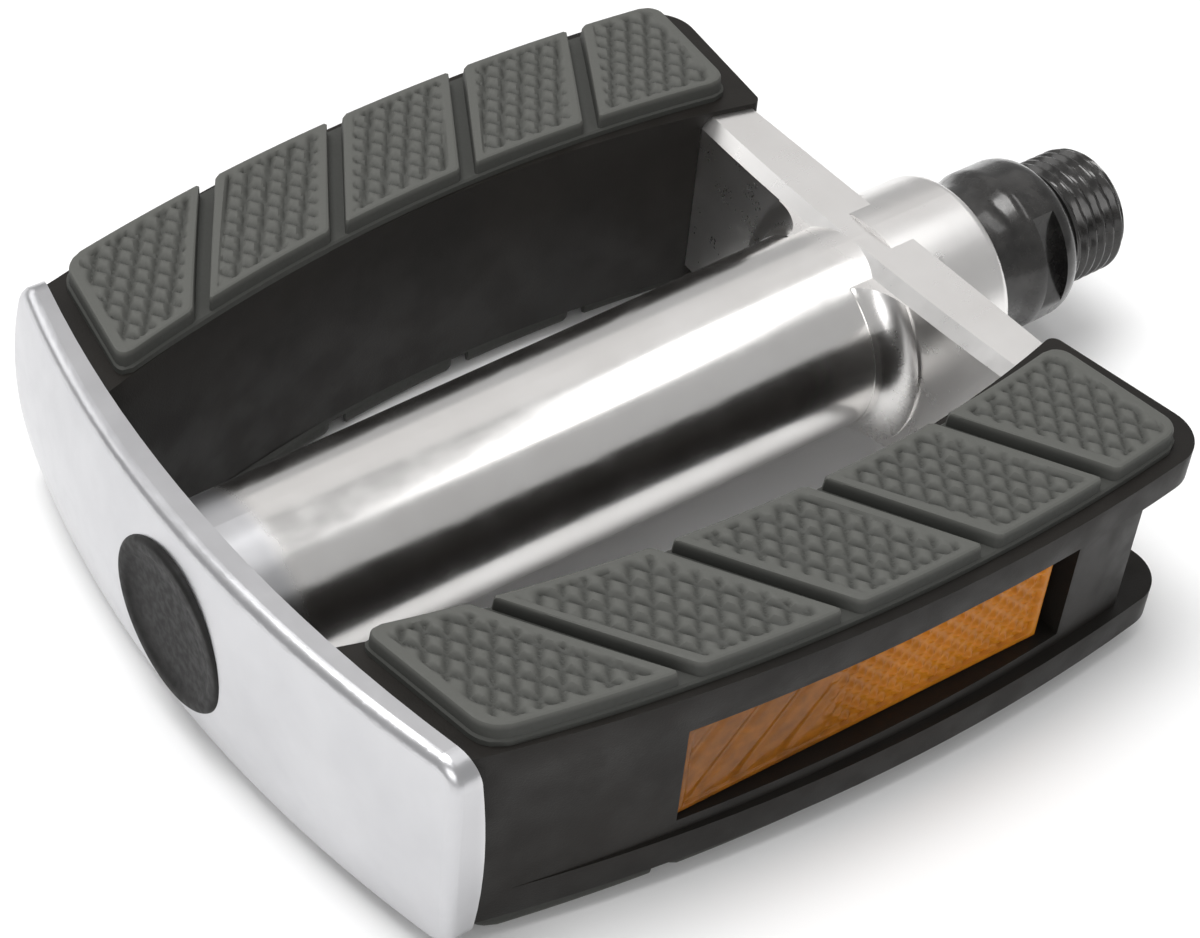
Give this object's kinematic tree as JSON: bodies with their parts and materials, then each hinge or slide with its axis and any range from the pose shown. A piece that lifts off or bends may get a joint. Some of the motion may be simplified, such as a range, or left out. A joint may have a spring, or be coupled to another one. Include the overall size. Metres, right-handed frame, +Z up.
{
  "type": "bicycle flat pedal",
  "caption": "Flat bicycle pedal with a polished barrel and side plates, black tread blocks with rubber grip pads and side reflectors, turning on a threaded axle.",
  "frame": {"origin": "on the axle's axis at the shoulder that seats against the crank arm", "axes": "+X along the axle into the crank, +Y to the rear tread, +Z up out of the top tread"},
  "size_m": [0.116, 0.0866, 0.0272],
  "materials": {
    "aluminium": "satin cast side plate, polished barrel",
    "tread_plastic": "fine moulded texture",
    "pad_rubber": "matt, moulded with small pyramids",
    "reflector_lens": "clear amber with moulded prisms",
    "reflector_back": "plain",
    "cap_plastic": "matt",
    "black_steel": "gloss black oxide",
    "bearing_steel": "ground and hardened",
    "zinc_steel": "zinc plated",
    "seal_rubber": "matt"
  },
  "bodies": {
    "axle": {"axle": "black_steel", "outboard_cone": "bearing_steel", "lock_washer": "zinc_steel", "lock_nut": "zinc_steel"},
    "pedal_body": {"body_casting": "aluminium", "outboard_cup": "bearing_steel", "inboard_cup": "bearing_steel", "inboard_seal": "seal_rubber", "dust_cap": "cap_plastic", "front_tread": "tread_plastic", "rear_tread": "tread_plastic", "front_top_pad": "pad_rubber", "front_bottom_pad": "pad_rubber", "rear_top_pad": "pad_rubber", "rear_bottom_pad": "pad_rubber", "front_reflector": "reflector_lens", "rear_reflector": "reflector_lens", "front_reflector_back": "reflector_back", "rear_reflector_back": "reflector_back", "front_tread_screws": "zinc_steel", "rear_tread_screws": "zinc_steel"},
    "inboard_ball_row": {"inboard_balls": "bearing_steel"},
    "outboard_ball_row": {"outboard_balls": "bearing_steel"}
  },
  "joints": [
    {"name": "pedal_spin", "type": "hinge", "parent": "axle", "child": "pedal_body", "pos_m": [0, 0, 0], "axis": [1, 0, 0], "continuous": true},
    {"name": "inboard_balls_orbit", "type": "hinge", "parent": "axle", "child": "inboard_ball_row", "pos_m": [0, 0, 0], "axis": [1, 0, 0], "continuous": true},
    {"name": "outboard_balls_orbit", "type": "hinge", "parent": "axle", "child": "outboard_ball_row", "pos_m": [0, 0, 0], "axis": [1, 0, 0], "continuous": true}
  ],
  "couplings": [
    {"joint": "inboard_balls_orbit", "follows": "pedal_spin", "ratio": 0.581},
    {"joint": "outboard_balls_orbit", "follows": "pedal_spin", "ratio": 0.589}
  ]
}
